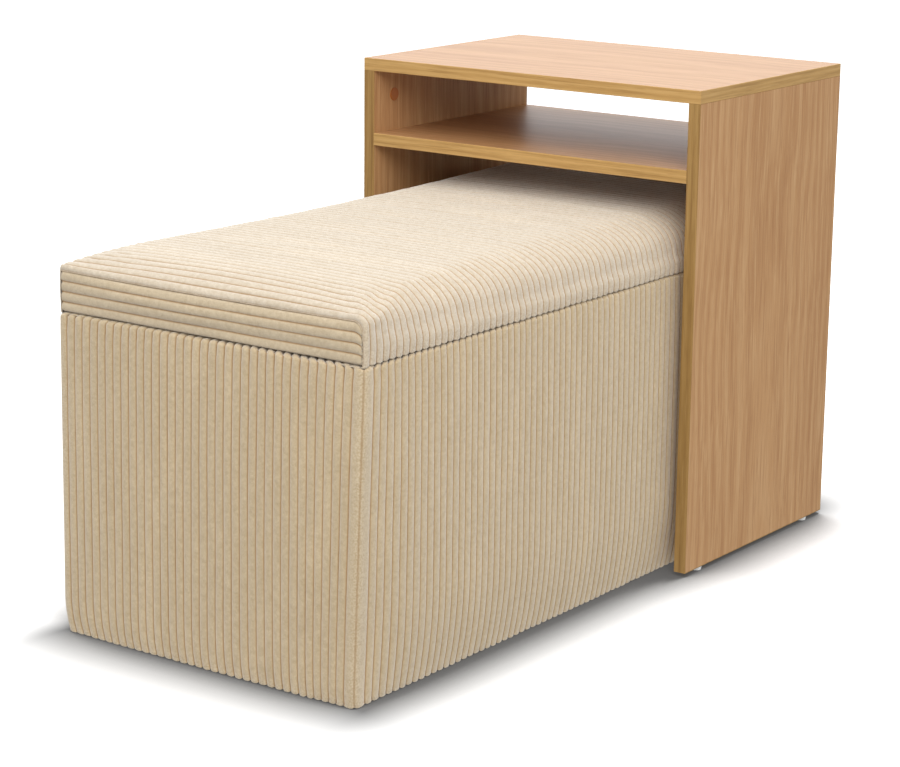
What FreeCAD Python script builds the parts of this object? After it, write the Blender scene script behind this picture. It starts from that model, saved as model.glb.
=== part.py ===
"""Storage bench with a bridge table standing over its rear end.

Frame: millimetres, +Z up, +Y from the bench's free end towards the table. The origin is on the floor
under the middle of the bench. The bench is an upholstered box with a hinged, padded lid; its hinges
are on the left. The table is four boards held by cam fittings: a top, two side panels and a shelf. It
stands on its own glides and slides along the bench.
"""

import FreeCAD, Part
import math
import os

import Sketcher
from FreeCAD import Rotation, Vector

# ---------------------------------------------------------------- driving dimensions

SIZES = {
    # bridge table
    "table_width": 500, "table_depth": 350, "table_height": 600, "table_front": 125,
    "board": 16, "banding": 1, "band_round": 0.6, "shelf_top": 504,
    "table_foot": 5, "table_foot_radius": 7.5, "foot_inset": 40, "nail_radius": 1.2,
    # cam fittings and dowels in the table's joints
    "cam_radius": 7.5, "cam_depth": 12.5, "cam_setback": 34, "cam_inset": 43, "dowel_inset": 85,
    "dowel_radius": 4, "dowel_grip": 10, "dowel_tail": 20, "bolt_radius": 3, "bolt_thread": 2.5,
    "bolt_grip": 11, "cap_radius": 8.5, "cap_height": 1.2, "slack": 0.1,
    # bench box
    "bench_length": 950, "bench_width": 430, "bench_foot": 3, "bench_foot_radius": 6.5,
    "wall": 12, "wall_half_width": 200, "wall_half_length": 463, "wall_bottom": 5, "wall_top": 368,
    "batten": 20, "bearer": 17, "floor_sheet": 6, "lining": 1, "dust_sheet": 0.8,
    "cloth": 3.5, "rim_cloth": 3, "hem": 15, "waist_height": 103, "side_curve": 505,
    "foam_gap": 0.3, "foam_drop": 2, "corner_radius": 8, "mitre_margin": 5, "mitre_reach": 60,
    "sheet_gap": 0.5, "pierce_depth": 5,
    # lid
    "lid_bottom": 373, "lid_top": 440, "lid_board": 12, "lid_shoulder": 35, "lid_edge": 8,
    "lid_hem": 35, "lid_rim": 3, "lining_margin": 4, "bumper_radius": 6, "bumper_gap": 0.3,
    # hinges
    "hinge_offset": 3.5, "hinge_pitch": 330, "hinge_length": 60, "knuckle_radius": 3, "pin_radius": 1.5,
    "leaf_width": 43, "leaf_gap": 0.15, "leaf_thickness": 0.85, "knuckle_gap": 0.15, "pin_fit": 0.05,
    "screw_inset": 38.5, "screw_pitch": 20, "screw_radius": 1.25, "screw_head": 2.9, "screw_grip": 10,
}

QUARTER_TURN = math.pi / 2
NO_TURN = Rotation()
LIE_DOWN = Rotation(Vector(1, 0, 0), -90)  # turns +Z to +Y
EDGE_TOLERANCE = 0.01
cuts = []

doc = FreeCAD.newDocument("storage_bench")
sheet = doc.addObject("Spreadsheet::Sheet", "Sizes")
for row, (alias, number) in enumerate(SIZES.items(), start=1):
    sheet.set(f"A{row}", alias)
    sheet.set(f"B{row}", str(number))
    sheet.setAlias(f"B{row}", alias)
doc.recompute()


class Size:
    """A length that holds both its value and the spreadsheet expression that gives it."""

    def __init__(self, value, text):
        self.value = float(value)
        self.text = text

    def _with(self, other, sign, value, swapped=False):
        pair = [self.text, other.text if isinstance(other, Size) else repr(other)]
        if swapped:
            pair.reverse()
        return Size(value, f"({pair[0]} {sign} {pair[1]})")

    def __add__(self, other):
        return self._with(other, "+", self.value + number_of(other))

    def __radd__(self, other):
        return self._with(other, "+", number_of(other) + self.value, swapped=True)

    def __sub__(self, other):
        return self._with(other, "-", self.value - number_of(other))

    def __rsub__(self, other):
        return self._with(other, "-", number_of(other) - self.value, swapped=True)

    def __mul__(self, other):
        return self._with(other, "*", self.value * number_of(other))

    def __rmul__(self, other):
        return self._with(other, "*", number_of(other) * self.value, swapped=True)

    def __truediv__(self, other):
        return self._with(other, "/", self.value / number_of(other))

    def __neg__(self):
        return Size(-self.value, f"(0 - {self.text})")


def number_of(length):
    return length.value if isinstance(length, Size) else float(length)


class Sheet:
    """Reads a driving dimension by its alias, as in size.board."""

    def __getattr__(self, alias):
        return Size(SIZES[alias], f"Sizes.{alias}")


size = Sheet()
sub_parts = []


def keep(thing, label):
    """Marks an object as a sub-part that is written out under that label."""
    thing.Label = label
    sub_parts.append(thing)
    return thing


def bind(thing, path, length):
    """Binds one property to the spreadsheet, or sets it when the length is a plain number."""
    if isinstance(length, Size):
        thing.setExpression(path, length.text)
    else:
        thing.setExpression(path, repr(float(length)))


def place(thing, x=0, y=0, z=0):
    for axis, length in zip("xyz", (x, y, z)):
        bind(thing, f"Placement.Base.{axis}", length)


# ---------------------------------------------------------------- building blocks

def box(name, x0, x1, y0, y1, z0, z1):
    """A plain block between two opposite corners."""
    block = doc.addObject("Part::Box", name)
    bind(block, "Length", x1 - x0)
    bind(block, "Width", y1 - y0)
    bind(block, "Height", z1 - z0)
    place(block, x0, y0, z0)
    return block


def rod(name, radius, height, x=0, y=0, z=0):
    """An upright cylinder from z to z + height."""
    cylinder = doc.addObject("Part::Cylinder", name)
    bind(cylinder, "Radius", radius)
    bind(cylinder, "Height", height)
    place(cylinder, x, y, z)
    return cylinder


def group(label, members):
    """Several separate solids that share one node."""
    compound = doc.addObject("Part::Compound", label)
    compound.Links = members
    return keep(compound, label)


def cut(name, base, tool):
    difference = doc.addObject("Part::Cut", name)
    difference.Base = base
    difference.Tool = tool
    return difference


def common(name, base, tool):
    overlap = doc.addObject("Part::Common", name)
    overlap.Base = base
    overlap.Tool = tool
    return overlap


def fuse(name, members):
    union = doc.addObject("Part::MultiFuse", name)
    union.Shapes = members
    return union


def copies(label, master, spots):
    """One node of linked copies of a master shape, each at (x, y, z, rotation)."""
    links = []
    for number, (x, y, z, turn) in enumerate(spots, start=1):
        link = doc.addObject("App::Link", f"{label}_{number}")
        link.LinkedObject = master
        link.Placement = FreeCAD.Placement(Vector(), turn)
        place(link, x, y, z)
        links.append(link)
    return group(label, links)


def new_body(name):
    return doc.addObject("PartDesign::Body", name)


def new_sketch(body, name, role, offset=0):
    """A sketch on one of the body's own origin planes, moved along that plane's normal."""
    sketch = body.newObject("Sketcher::SketchObject", name)
    plane = next(f for f in body.Origin.OriginFeatures if f.Role == role)
    sketch.AttachmentSupport = [(plane, "")]
    sketch.MapMode = "FlatFace"
    bind(sketch, "AttachmentOffset.Base.z", offset)
    return sketch


def pin_point(sketch, vertex, u, v):
    """Holds one vertex of a sketch at (u, v)."""
    for kind, length in (("DistanceX", u), ("DistanceY", v)):
        index = sketch.addConstraint(Sketcher.Constraint(kind, *vertex, number_of(length)))
        bind(sketch, f"Constraints[{index}]", length)


def outline(sketch, points):
    """A closed outline of straight lines with each corner held by the spreadsheet."""
    first = sketch.GeometryCount
    corners = [Vector(number_of(u), number_of(v), 0) for u, v in points]
    for start, end in zip(corners, corners[1:] + corners[:1]):
        sketch.addGeometry(Part.LineSegment(start, end))
    for number, (u, v) in enumerate(points):
        line, before = first + number, first + (number - 1) % len(points)
        sketch.addConstraint(Sketcher.Constraint("Coincident", before, 2, line, 1))
        pin_point(sketch, (line, 1), u, v)


def rectangle(sketch, u0, u1, v0, v1):
    outline(sketch, [(u0, v0), (u1, v0), (u1, v1), (u0, v1)])


def circle(sketch, u, v, radius):
    middle = Vector(number_of(u), number_of(v), 0)
    ring = sketch.addGeometry(Part.Circle(middle, Vector(0, 0, 1), number_of(radius)))
    pin_point(sketch, (ring, 3), u, v)
    index = sketch.addConstraint(Sketcher.Constraint("Radius", ring, number_of(radius)))
    bind(sketch, f"Constraints[{index}]", radius)


def arched_outline(sketch, half, low, high, shoulder):
    """The lid's cross-section: flat below, upright sides, round shoulders and a flat crown."""
    a, b, c, r = (number_of(value) for value in (half, low, high, shoulder))
    spring = c - r
    sketch.addGeometry(Part.LineSegment(Vector(-a, b, 0), Vector(a, b, 0)))
    sketch.addGeometry(Part.LineSegment(Vector(a, b, 0), Vector(a, spring, 0)))
    right_round = Part.Circle(Vector(a - r, spring, 0), Vector(0, 0, 1), r)
    sketch.addGeometry(Part.ArcOfCircle(right_round, 0, QUARTER_TURN))
    sketch.addGeometry(Part.LineSegment(Vector(a - r, c, 0), Vector(r - a, c, 0)))
    left_round = Part.Circle(Vector(r - a, spring, 0), Vector(0, 0, 1), r)
    sketch.addGeometry(Part.ArcOfCircle(left_round, QUARTER_TURN, 2 * QUARTER_TURN))
    sketch.addGeometry(Part.LineSegment(Vector(-a, spring, 0), Vector(-a, b, 0)))
    sketch.addConstraint([
        Sketcher.Constraint("Coincident", 0, 2, 1, 1),
        Sketcher.Constraint("Tangent", 1, 2, 2, 1),
        Sketcher.Constraint("Tangent", 2, 2, 3, 1),
        Sketcher.Constraint("Tangent", 3, 2, 4, 1),
        Sketcher.Constraint("Tangent", 4, 2, 5, 1),
        Sketcher.Constraint("Coincident", 5, 2, 0, 1),
        Sketcher.Constraint("Equal", 2, 4),
        Sketcher.Constraint("Horizontal", 3),
    ])
    pin_point(sketch, (0, 1), -half, low)
    pin_point(sketch, (0, 2), half, low)
    for vertex, length in (((1, 2), half), ((5, 1), -half)):
        index = sketch.addConstraint(Sketcher.Constraint("DistanceX", *vertex, number_of(length)))
        bind(sketch, f"Constraints[{index}]", length)
    index = sketch.addConstraint(Sketcher.Constraint("DistanceY", 3, 1, c))
    bind(sketch, f"Constraints[{index}]", high)
    index = sketch.addConstraint(Sketcher.Constraint("Radius", 2, r))
    bind(sketch, f"Constraints[{index}]", shoulder)


def pad(body, sketch, length, midplane=False):
    feature = body.newObject("PartDesign::Pad", f"{sketch.Name}_pad")
    feature.Profile = sketch
    bind(feature, "Length", length)
    if midplane:
        feature.SideType = "Symmetric"
    return feature


def pocket(body, sketch, length, along_normal=False, midplane=False):
    """Cuts a sketch into the body, against its plane's normal unless along_normal is set."""
    feature = body.newObject("PartDesign::Pocket", f"{sketch.Name}_pocket")
    feature.Profile = sketch
    bind(feature, "Length", length)
    feature.Reversed = along_normal
    if midplane:
        feature.SideType = "Symmetric"
    cuts.append((body, feature))
    return feature


def round_edges(body, name, edges, radius):
    base = body.Tip
    rounding = body.newObject("PartDesign::Fillet", name)
    rounding.Base = (base, edges)
    bind(rounding, "Radius", radius)


# ---------------------------------------------------------------- bridge table

half_width = size.table_width / 2
inner_face = half_width - size.board
panel_middle = half_width - size.board / 2
table_rear = size.table_front + size.table_depth
front_cut = size.table_front + size.banding
rear_cut = table_rear - size.banding
top_underside = size.table_height - size.board
shelf_underside = size.shelf_top - size.board
shelf_middle = size.shelf_top - size.board / 2
cam_rows = (size.table_front + size.cam_inset, table_rear - size.cam_inset)
dowel_rows = (size.table_front + size.dowel_inset, table_rear - size.dowel_inset)
foot_rows = (size.table_front + size.foot_inset, table_rear - size.foot_inset)


def drill(body, name, role, offset, centres, radius, depth, along_normal=False):
    """A set of equal blind holes cut from one plane."""
    sketch = new_sketch(body, name, role, offset)
    for u, v in centres:
        circle(sketch, u, v, radius)
    return pocket(body, sketch, depth, along_normal)


def table_top():
    body = new_body("table_top")
    face = new_sketch(body, "top_face", "XY_Plane", top_underside)
    rectangle(face, size.banding - half_width, half_width - size.banding, front_cut, rear_cut)
    pad(body, face, size.board)
    sides = (-panel_middle, panel_middle)
    drill(body, "top_bolt_holes", "XY_Plane", top_underside,
          [(x, y) for x in sides for y in cam_rows], size.bolt_thread, size.bolt_grip, True)
    drill(body, "top_dowel_holes", "XY_Plane", top_underside,
          [(x, y) for x in sides for y in dowel_rows], size.dowel_radius,
          size.dowel_grip + size.slack, True)
    keep(body, "table_top")


def table_top_edging():
    """The band round the top board, with its outer edges eased."""
    body = new_body("table_top_edging")
    ring = new_sketch(body, "edging_ring", "XY_Plane", top_underside)
    rectangle(ring, -half_width, half_width, size.table_front, table_rear)
    rectangle(ring, size.banding - half_width, half_width - size.banding, front_cut, rear_cut)
    pad(body, ring, size.board)
    doc.recompute()
    limits = (number_of(half_width), number_of(size.table_front), number_of(table_rear))
    outer = [f"Edge{n}" for n, edge in enumerate(body.Tip.Shape.Edges, start=1)
             if abs(abs(edge.CenterOfMass.x) - limits[0]) < 0.01
             or min(abs(edge.CenterOfMass.y - limit) for limit in limits[1:]) < 0.01]
    round_edges(body, "edging_ease", outer, size.band_round)
    keep(body, "table_top_edging")


def side_panel(side, sign):
    """One side panel: its fittings are drilled from the inner face, the top end and the bottom end."""
    label = f"table_{side}_panel"
    inner = inner_face if sign > 0 else -inner_face
    low_face = inner_face if sign > 0 else -half_width
    middle = panel_middle if sign > 0 else -panel_middle
    inwards = sign > 0
    body = new_body(label)
    face = new_sketch(body, f"{side}_face", "YZ_Plane", low_face)
    rectangle(face, front_cut, rear_cut, size.table_foot + size.banding, top_underside)
    pad(body, face, size.board)
    drill(body, f"{side}_cam_bores", "YZ_Plane", inner,
          [(y, top_underside - size.cam_setback) for y in cam_rows],
          size.cam_radius, size.cam_depth, inwards)
    drill(body, f"{side}_shelf_bolt_holes", "YZ_Plane", inner, [(y, shelf_middle) for y in cam_rows],
          size.bolt_thread, size.bolt_grip, inwards)
    drill(body, f"{side}_shelf_dowel_holes", "YZ_Plane", inner, [(y, shelf_middle) for y in dowel_rows],
          size.dowel_radius, size.dowel_grip + size.slack, inwards)
    drill(body, f"{side}_bolt_channels", "XY_Plane", top_underside, [(middle, y) for y in cam_rows],
          size.dowel_radius, size.cam_setback)
    drill(body, f"{side}_dowel_holes", "XY_Plane", top_underside, [(middle, y) for y in dowel_rows],
          size.dowel_radius, size.dowel_tail + size.slack)
    drill(body, f"{side}_nail_holes", "XY_Plane", size.table_foot, [(middle, y) for y in foot_rows],
          size.nail_radius + size.slack, 3 * size.table_foot, True)
    keep(body, label)


def eased_strip(name, blank, outer_y):
    """A banding strip whose two long outer edges are eased."""
    doc.recompute()
    face_y = number_of(outer_y)
    eased = doc.addObject("Part::Fillet", name)
    eased.Base = blank
    long_edges = sorted(
        (n for n, edge in enumerate(blank.Shape.Edges, start=1)
         if abs(edge.CenterOfMass.y - face_y) < 0.01), key=lambda n: -blank.Shape.Edges[n - 1].Length)[:2]
    radius = SIZES["band_round"]
    eased.Edges = [(n, radius, radius) for n in long_edges]
    return eased


def side_panel_edging(side, sign):
    """Banding strips on a side panel's front, rear and bottom edges."""
    x0 = inner_face if sign > 0 else -half_width
    x1 = x0 + size.board
    middle = panel_middle if sign > 0 else -panel_middle
    strips = [
        eased_strip(f"{side}_front_band", box(f"{side}_front_strip", x0, x1, size.table_front, front_cut,
                                              size.table_foot, top_underside), size.table_front),
        eased_strip(f"{side}_rear_band", box(f"{side}_rear_strip", x0, x1, rear_cut, table_rear,
                                             size.table_foot, top_underside), table_rear),
    ]
    sole = box(f"{side}_sole_blank", x0, x1, front_cut, rear_cut,
               size.table_foot, size.table_foot + size.banding)
    nails = [rod(f"{side}_sole_hole_{n}", size.nail_radius + size.slack, 3 * size.banding,
                 middle, y, size.table_foot - size.banding) for n, y in enumerate(foot_rows)]
    sole = cut(f"{side}_sole_strip", sole, fuse(f"{side}_sole_holes", nails))
    group(f"table_{side}_edging", strips + [sole])


def shelf():
    body = new_body("table_shelf")
    face = new_sketch(body, "shelf_face", "XY_Plane", shelf_underside)
    rectangle(face, -inner_face, inner_face, front_cut, rear_cut)
    pad(body, face, size.board)
    cam_x = inner_face - size.cam_setback
    drill(body, "shelf_cam_bores", "XY_Plane", shelf_underside,
          [(x, y) for x in (-cam_x, cam_x) for y in cam_rows], size.cam_radius, size.cam_depth, True)
    for end, inner, into in (("left", -inner_face, True), ("right", inner_face, False)):
        drill(body, f"shelf_{end}_channels", "YZ_Plane", inner, [(y, shelf_middle) for y in cam_rows],
              size.dowel_radius, size.cam_setback, into)
        drill(body, f"shelf_{end}_dowel_holes", "YZ_Plane", inner,
              [(y, shelf_middle) for y in dowel_rows], size.dowel_radius,
              size.dowel_tail + size.slack, into)
    keep(body, "table_shelf")
    group("table_shelf_edging", [
        eased_strip("shelf_front_band", box("shelf_front_strip", -inner_face, inner_face, size.table_front,
                                            front_cut, shelf_underside, size.shelf_top), size.table_front),
        eased_strip("shelf_rear_band", box("shelf_rear_strip", -inner_face, inner_face, rear_cut, table_rear,
                                           shelf_underside, size.shelf_top), table_rear),
    ])


def fitting_spots():
    """Where each cam sits: on its face, with local +Z out of the face and local +X to the other board."""
    up, out_right, out_left = Vector(0, 0, 1), Vector(1, 0, 0), Vector(-1, 0, 0)
    on_right = Rotation(up, Vector(), out_left, "ZXY")
    on_left = Rotation(up, Vector(), out_right, "ZXY")
    under_to_right = Rotation(out_right, Vector(), Vector(0, 0, -1), "ZXY")
    under_to_left = Rotation(out_left, Vector(), Vector(0, 0, -1), "ZXY")
    cam_height = top_underside - size.cam_setback
    cam_x = inner_face - size.cam_setback
    spots = []
    for y in cam_rows:
        spots.append((inner_face, y, cam_height, on_right))
        spots.append((-inner_face, y, cam_height, on_left))
        spots.append((cam_x, y, shelf_underside, under_to_right))
        spots.append((-cam_x, y, shelf_underside, under_to_left))
    return spots


def cam_fittings():
    """Eccentric cams, their bolts and the round caps over them, all from one local frame."""
    axis_depth = size.board / 2
    cam = new_body("cam_master")
    disc = new_sketch(cam, "cam_disc", "XY_Plane", -size.cam_depth + 2 * size.slack)
    circle(disc, size.slack, size.slack, size.cam_radius - 2 * size.slack)
    pad(cam, disc, size.cam_depth - 4 * size.slack)
    mouth = new_sketch(cam, "cam_mouth", "YZ_Plane", 0.5)
    circle(mouth, size.slack, -axis_depth, size.bolt_radius + 4 * size.slack)
    pocket(cam, mouth, size.cam_radius, True)
    slot = new_sketch(cam, "cam_slot", "XY_Plane")
    rectangle(slot, -size.cam_radius * 0.7, size.cam_radius * 0.7, -0.6, 0.7)
    pocket(cam, slot, size.cam_depth * 0.2)
    bolt = new_body("bolt_master")
    shank = new_sketch(bolt, "bolt_shank", "YZ_Plane", 1.5)
    circle(shank, size.slack, -axis_depth, size.bolt_radius)
    pad(bolt, shank, size.cam_setback - 1.5)
    thread = new_sketch(bolt, "bolt_thread", "YZ_Plane", size.cam_setback)
    circle(thread, size.slack, -axis_depth, size.bolt_thread - size.slack)
    pad(bolt, thread, size.bolt_grip - 5 * size.slack)
    cap = rod("cap_disc", size.cap_radius, size.cap_height)
    rim = doc.addObject("Part::Fillet", "cap_master")
    rim.Base = cap
    doc.recompute()
    top_edge = max(range(1, 4), key=lambda n: cap.Shape.Edges[n - 1].CenterOfMass.z)
    rim.Edges = [(top_edge, 0.5, 0.5)]
    spots = fitting_spots()
    copies("cam_locks", cam, spots)
    copies("cam_bolts", bolt, spots)
    copies("cam_caps", rim, spots)


def wood_dowels():
    """Grooveless beech dowels across the joints between top, side panels and shelf."""
    master = rod("dowel_master", size.dowel_radius - size.slack,
                 size.dowel_grip + size.dowel_tail)
    upright, to_right, to_left = NO_TURN, Rotation(Vector(0, 1, 0), 90), Rotation(Vector(0, 1, 0), -90)
    spots = []
    for y in dowel_rows:
        spots.append((panel_middle, y, top_underside - size.dowel_tail, upright))
        spots.append((-panel_middle, y, top_underside - size.dowel_tail, upright))
        spots.append((inner_face - size.dowel_tail, y, shelf_middle, to_right))
        spots.append((size.dowel_tail - inner_face, y, shelf_middle, to_left))
    copies("wood_dowels", master, spots)


def nail_glide(name, radius, height, nail):
    """A round nail-in glide standing on the floor."""
    foot = doc.addObject("Part::Cone", f"{name}_foot")
    bind(foot, "Radius1", radius - 1)
    bind(foot, "Radius2", radius)
    bind(foot, "Height", height)
    return fuse(name, [foot, rod(f"{name}_nail", size.nail_radius, height + nail)])


def table_glides():
    master = nail_glide("table_glide_master", size.table_foot_radius, size.table_foot,
                        2.5 * size.table_foot)
    copies("table_glides", master,
           [(x, y, 0, NO_TURN) for x in (-panel_middle, panel_middle) for y in foot_rows])


# ---------------------------------------------------------------- bench box

inside_x = size.wall_half_width - size.wall
inside_y = size.wall_half_length - size.wall
rim_x = inside_x - size.batten
rim_y = inside_y - size.batten
floor_low = size.wall_bottom + size.bearer
floor_high = floor_low + size.floor_sheet
rail_low = size.wall_top - size.batten
bench_half_width = size.bench_width / 2
bench_half_length = size.bench_length / 2
rim_top = size.wall_top + size.rim_cloth
glide_x = inside_x - size.batten / 2
glide_rows = (size.batten / 2 - inside_y, 0, inside_y - size.batten / 2)
pin_x = -(bench_half_width + size.hinge_offset)
pin_z = (rim_top + size.lid_bottom) / 2
hinge_rows = (-size.hinge_pitch, 0, size.hinge_pitch)
screw_x = pin_x + size.screw_inset


def screw_spots(z):
    """Three screws in a row through each hinge leaf."""
    return [(screw_x, row + step, z) for row in hinge_rows
            for step in (-size.screw_pitch, 0, size.screw_pitch)]


def screw_holes(name, z, depth):
    """The pilot holes that the hinge screws of one leaf need, as one cutting tool."""
    holes = [rod(f"{name}_{n}", size.screw_radius + size.slack, depth, x, y, low)
             for n, (x, y, low) in enumerate(screw_spots(z))]
    return fuse(name, holes)


def walls():
    x, y = size.wall_half_width, size.wall_half_length
    low, high = size.wall_bottom, size.wall_top
    keep(box("bench_left_wall", -x, -inside_x, -y, y, low, high), "bench_left_wall")
    keep(box("bench_right_wall", inside_x, x, -y, y, low, high), "bench_right_wall")
    keep(box("bench_front_wall", -inside_x, inside_x, -y, -inside_y, low, high), "bench_front_wall")
    keep(box("bench_rear_wall", -inside_x, inside_x, inside_y, y, low, high), "bench_rear_wall")
    keep(box("bench_floor", -inside_x, inside_x, -inside_y, inside_y, floor_low, floor_high), "bench_floor")


def ring_of_battens(name, low, high):
    """Battens along all four walls: the long ones run through, the short ones fit between them."""
    return [
        box(f"{name}_left", -inside_x, -rim_x, -inside_y, inside_y, low, high),
        box(f"{name}_right", rim_x, inside_x, -inside_y, inside_y, low, high),
        box(f"{name}_front", -rim_x, rim_x, -inside_y, -rim_y, low, high),
        box(f"{name}_rear", -rim_x, rim_x, rim_y, inside_y, low, high),
    ]


def battens():
    corners = [box(f"post_{n}", x, x + size.batten, y, y + size.batten, floor_high, rail_low)
               for n, (x, y) in enumerate([(-inside_x, -inside_y), (rim_x, -inside_y),
                                           (-inside_x, rim_y), (rim_x, rim_y)])]
    group("bench_corner_posts", corners)
    left, right, front, rear = ring_of_battens("rail", rail_low, size.wall_top)
    left = cut("rail_left_drilled", left, screw_holes("rail_pilots", rail_low + 2, size.batten))
    group("bench_rim_rails", [left, right, front, rear])
    low, high = size.wall_bottom, floor_low
    left, right, front, rear = ring_of_battens("bearer", low, high)
    half = size.batten / 2
    middle = box("bearer_middle", -rim_x, rim_x, -half, half, low, high)
    nails = [rod(f"bearer_hole_{n}", size.nail_radius + size.slack, size.bearer, x, y, low - 2)
             for n, (x, y) in enumerate([(x, y) for x in (-glide_x, glide_x) for y in glide_rows])]
    left = cut("bearer_left_drilled", left, fuse("bearer_left_holes", nails[:3]))
    right = cut("bearer_right_drilled", right, fuse("bearer_right_holes", nails[3:]))
    group("bench_floor_bearers", [left, right, front, rear, middle])


def side_outline(sketch, half, low, high, curve):
    """A bench cross-section: upright sides above the waist that curve inwards towards the foot."""
    waist = number_of(size.waist_height)
    half_low = number_of(half) - number_of(curve)
    half_low += (number_of(curve) ** 2 - (waist - number_of(low)) ** 2) ** 0.5
    a, b, c, r = (number_of(value) for value in (half, low, high, curve))
    foot_angle = math.asin((b - waist) / r)
    sketch.addGeometry(Part.LineSegment(Vector(-half_low, b, 0), Vector(half_low, b, 0)))
    right_curve = Part.Circle(Vector(a - r, waist, 0), Vector(0, 0, 1), r)
    sketch.addGeometry(Part.ArcOfCircle(right_curve, foot_angle, 0))
    sketch.addGeometry(Part.LineSegment(Vector(a, waist, 0), Vector(a, c, 0)))
    sketch.addGeometry(Part.LineSegment(Vector(a, c, 0), Vector(-a, c, 0)))
    sketch.addGeometry(Part.LineSegment(Vector(-a, c, 0), Vector(-a, waist, 0)))
    left_curve = Part.Circle(Vector(r - a, waist, 0), Vector(0, 0, 1), r)
    sketch.addGeometry(Part.ArcOfCircle(left_curve, math.pi, math.pi - foot_angle))
    sketch.addConstraint([
        Sketcher.Constraint("Coincident", 0, 2, 1, 1),
        Sketcher.Constraint("Tangent", 1, 2, 2, 1),
        Sketcher.Constraint("Coincident", 2, 2, 3, 1),
        Sketcher.Constraint("Coincident", 3, 2, 4, 1),
        Sketcher.Constraint("Tangent", 4, 2, 5, 1),
        Sketcher.Constraint("Coincident", 5, 2, 0, 1),
        Sketcher.Constraint("Vertical", 4),
        Sketcher.Constraint("Vertical", 2),
        Sketcher.Constraint("Equal", 1, 5),
        Sketcher.Constraint("Horizontal", 0),
    ])
    pin_point(sketch, (2, 2), half, high)
    pin_point(sketch, (3, 2), -half, high)
    for vertex, length in (((2, 1), size.waist_height), ((4, 2), size.waist_height), ((0, 1), low)):
        index = sketch.addConstraint(Sketcher.Constraint("DistanceY", *vertex, number_of(length)))
        bind(sketch, f"Constraints[{index}]", length)
    index = sketch.addConstraint(Sketcher.Constraint("Radius", 1, r))
    bind(sketch, f"Constraints[{index}]", curve)


def padding():
    """Four foam sheets, one glued to the outside of each wall."""
    half = bench_half_width - size.cloth - size.foam_gap
    curve = size.side_curve - size.cloth - size.foam_gap
    length = bench_half_length - size.cloth - size.foam_gap
    top = size.wall_top - size.foam_drop
    for side, x0, x1 in (("left", -bench_half_width, -size.wall_half_width),
                         ("right", size.wall_half_width, bench_half_width)):
        whole = new_body(f"{side}_foam_block")
        section = new_sketch(whole, f"{side}_foam_section", "XZ_Plane")
        side_outline(section, half, size.wall_bottom, top, curve)
        pad(whole, section, 2 * length, midplane=True)
        keep_box = box(f"{side}_foam_room", x0, x1, -bench_half_length, bench_half_length, 0, size.wall_top)
        keep(common(f"bench_{side}_padding", whole, keep_box), f"bench_{side}_padding")
    for end, y0, y1 in (("front", -length, -size.wall_half_length), ("rear", size.wall_half_length, length)):
        label = f"bench_{end}_padding"
        keep(box(label, -size.wall_half_width, size.wall_half_width, y0, y1, size.wall_bottom, top), label)


def bench_cover():
    """The sewn corduroy sleeve, cut from one shell at its mitred corner seams into four panels.

    Each panel covers its side, folds over the rim into a short hem inside, and folds under the foot.
    """
    body = new_body("cover_shell")
    outside = new_sketch(body, "cover_outside", "XZ_Plane")
    side_outline(outside, bench_half_width, size.bench_foot, rim_top, size.side_curve)
    pad(body, outside, 2 * bench_half_length, midplane=True)
    doc.recompute()
    reach = number_of(bench_half_length)
    corners = [f"Edge{n}" for n, edge in enumerate(body.Tip.Shape.Edges, start=1)
               if abs(abs(edge.CenterOfMass.y) - reach) < EDGE_TOLERANCE and edge.BoundBox.ZLength > 10]
    round_edges(body, "cover_corners", corners, size.corner_radius)
    inside = new_sketch(body, "cover_inside", "XZ_Plane")
    side_outline(inside, bench_half_width - size.cloth, size.wall_bottom, size.wall_top,
                 size.side_curve - size.cloth)
    pocket(body, inside, 2 * (bench_half_length - size.cloth), midplane=True)
    mouth = new_sketch(body, "cover_mouth", "XY_Plane", rim_top)
    mouth_x, mouth_y = rim_x - size.rim_cloth, rim_y - size.rim_cloth
    rectangle(mouth, -mouth_x, mouth_x, -mouth_y, mouth_y)
    pocket(body, mouth, 2 * size.rim_cloth)
    sole = new_sketch(body, "cover_sole", "XY_Plane", size.bench_foot)
    sole_x, sole_y = size.wall_half_width - size.hem, size.wall_half_length - size.hem
    rectangle(sole, -sole_x, sole_x, -sole_y, sole_y)
    pocket(body, sole, size.hem, True)
    hem = new_sketch(body, "cover_hem", "XY_Plane", rail_low)
    rectangle(hem, -rim_x, rim_x, -rim_y, rim_y)
    rectangle(hem, -mouth_x, mouth_x, -mouth_y, mouth_y)
    pad(body, hem, rim_top - rail_low)
    x, y = bench_half_width + size.mitre_margin, bench_half_length + size.mitre_margin
    a, b = x - size.mitre_reach, y - size.mitre_reach
    regions = {
        "front": [(-x, -y), (x, -y), (a, -b), (-a, -b)],
        "rear": [(-a, b), (a, b), (x, y), (-x, y)],
        "left": [(-x, -y), (-a, -b), (-a, b), (-x, y)],
        "right": [(a, -b), (x, -y), (x, y), (a, b)],
    }
    for side, corners in regions.items():
        prism = new_body(f"{side}_region")
        plan = new_sketch(prism, f"{side}_region_plan", "XY_Plane")
        outline(plan, corners)
        pad(prism, plan, size.lid_bottom)
        panel = common(f"{side}_cover_panel", body, prism)
        if side == "left":
            pierces = screw_holes("rim_pierces", size.wall_top - 1, size.pierce_depth)
            panel = cut("left_cover_pierced", panel, pierces)
        keep(panel, f"bench_{side}_cover")


def notched_outline(sketch, inset):
    """The floor plan of the lining, which steps round the four corner posts."""
    x, y = inside_x - inset, inside_y - inset
    a, b = rim_x - inset, rim_y - inset
    outline(sketch, [(-a, -y), (a, -y), (a, -b), (x, -b), (x, b), (a, b),
                     (a, y), (-a, y), (-a, b), (-x, b), (-x, -b), (-a, -b)])


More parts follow.
